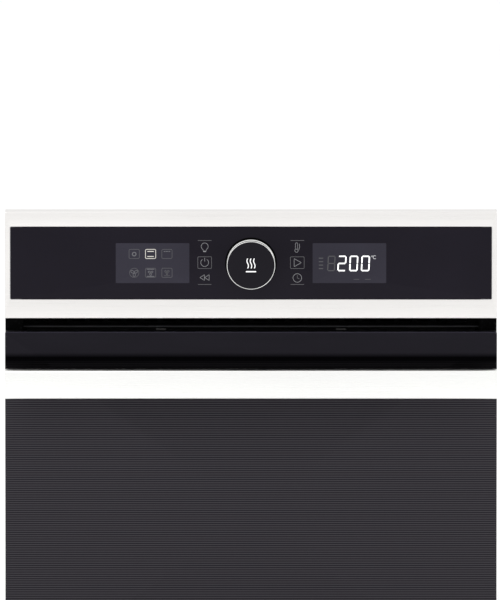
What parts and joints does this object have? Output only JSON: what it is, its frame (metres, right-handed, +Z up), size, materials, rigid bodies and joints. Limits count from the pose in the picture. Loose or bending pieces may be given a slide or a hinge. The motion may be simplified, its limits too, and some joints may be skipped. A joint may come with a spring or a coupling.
{
  "type": "built-in wall oven",
  "caption": "Built-in electric wall oven with a stainless control panel, black control glass, rotary knob, drop-down glass door, full-width bar handle, shelf and tray.",
  "frame": {"origin": "middle of the oven's outline on the plane of its base", "axes": "+X to the right seen from the front, +Y from the front to the back, +Z up"},
  "size_m": [0.595, 0.6144, 0.595],
  "materials": {
    "brushed_stainless": "satin",
    "stainless_fittings": "satin",
    "black_glass": "gloss",
    "clear_glass": "gloss",
    "galvanised_sheet": "satin",
    "frame_enamel": "gloss",
    "black_paint": "matte",
    "grey_enamel": "gloss",
    "tray_enamel": "gloss",
    "glass_wool": "matte",
    "seal_rubber": "matte",
    "chrome_wire": "polished",
    "heater_tube": "matte",
    "zinc_steel": "satin",
    "fan_steel": "satin",
    "blower_aluminium": "satin",
    "motor_body": "satin",
    "ceramic_holder": "matte",
    "circuit_board": "satin",
    "display_module": "gloss",
    "terminal_plastic": "matte",
    "knob_black": "gloss",
    "door_profile": "matte"
  },
  "bodies": {
    "casing": {"front_frame": "frame_enamel", "left_side_panel": "galvanised_sheet", "right_side_panel": "galvanised_sheet", "top_cover": "galvanised_sheet", "back_panel": "galvanised_sheet", "base_panel": "galvanised_sheet", "cover_screws": "zinc_steel", "partition_plate": "galvanised_sheet", "cavity_liner": "grey_enamel", "insulation": "glass_wool", "door_seal": "seal_rubber", "left_rack_guide": "chrome_wire", "right_rack_guide": "chrome_wire", "grill_element": "heater_tube", "bottom_element": "heater_tube", "ring_element": "heater_tube", "fan_cover": "grey_enamel", "fan_motor": "zinc_steel", "lamp_holder": "ceramic_holder", "lamp_glass": "clear_glass", "temperature_probe": "stainless_fittings", "vent_flue": "zinc_steel", "air_duct": "galvanised_sheet", "air_outlet_grille": "black_paint", "blower_housing": "galvanised_sheet", "blower_motor": "motor_body", "power_board": "circuit_board", "terminal_block": "terminal_plastic", "safety_thermostat": "zinc_steel", "door_switch": "terminal_plastic", "fascia_panel": "brushed_stainless", "control_glass": "black_glass", "left_display": "display_module", "right_display": "display_module", "control_board": "circuit_board", "knob_collar": "knob_black", "left_hinge_arm": "zinc_steel", "right_hinge_arm": "zinc_steel"},
    "door": {"door_outer_glass": "black_glass", "door_middle_glass": "clear_glass", "door_inner_glass": "clear_glass", "left_door_stile": "door_profile", "right_door_stile": "door_profile", "door_top_rail": "door_profile", "door_bottom_rail": "door_profile", "door_buffers": "seal_rubber", "handle_bar": "brushed_stainless", "left_handle_mount": "stainless_fittings", "right_handle_mount": "stainless_fittings", "handle_screws": "zinc_steel", "left_hinge_channel": "zinc_steel", "right_hinge_channel": "zinc_steel"},
    "knob": {"knob_ring": "stainless_fittings", "knob_cap": "knob_black"},
    "fan": {"convection_fan": "fan_steel", "fan_shaft": "zinc_steel"},
    "blower": {"blower_impeller": "blower_aluminium"},
    "plunger": {"switch_plunger": "terminal_plastic"},
    "shelf": {"wire_shelf": "chrome_wire"},
    "tray": {"baking_tray": "tray_enamel"}
  },
  "joints": [
    {"name": "door_hinge", "type": "hinge", "parent": "casing", "child": "door", "pos_m": [0, -0.2532, 0.016], "axis": [1, 0, 0], "range_deg": [0, 90]},
    {"name": "knob_turn", "type": "hinge", "parent": "casing", "child": "knob", "pos_m": [0, -0.2702, 0.53225], "axis": [0, -1, 0], "continuous": true},
    {"name": "fan_spin", "type": "hinge", "parent": "casing", "child": "fan", "pos_m": [0, 0.1598, 0.225], "axis": [0, -1, 0], "continuous": true},
    {"name": "blower_spin", "type": "hinge", "parent": "casing", "child": "blower", "pos_m": [0, 0.1848, 0.48], "axis": [1, 0, 0], "continuous": true},
    {"name": "plunger_slide", "type": "slide", "parent": "casing", "child": "plunger", "axis": [0, -1, 0], "range_m": [0, 0.004]},
    {"name": "shelf_slide", "type": "slide", "parent": "casing", "child": "shelf", "axis": [0, -1, 0], "range_m": [0, 0.22]},
    {"name": "tray_slide", "type": "slide", "parent": "casing", "child": "tray", "axis": [0, -1, 0], "range_m": [0, 0.16]}
  ],
  "couplings": [
    {"joint": "plunger_slide", "follows": "door_hinge", "m_per_rad": 0.0025},
    {"joint": "shelf_slide", "follows": "door_hinge", "m_per_rad": 0.14},
    {"joint": "tray_slide", "follows": "door_hinge", "m_per_rad": 0.1}
  ]
}
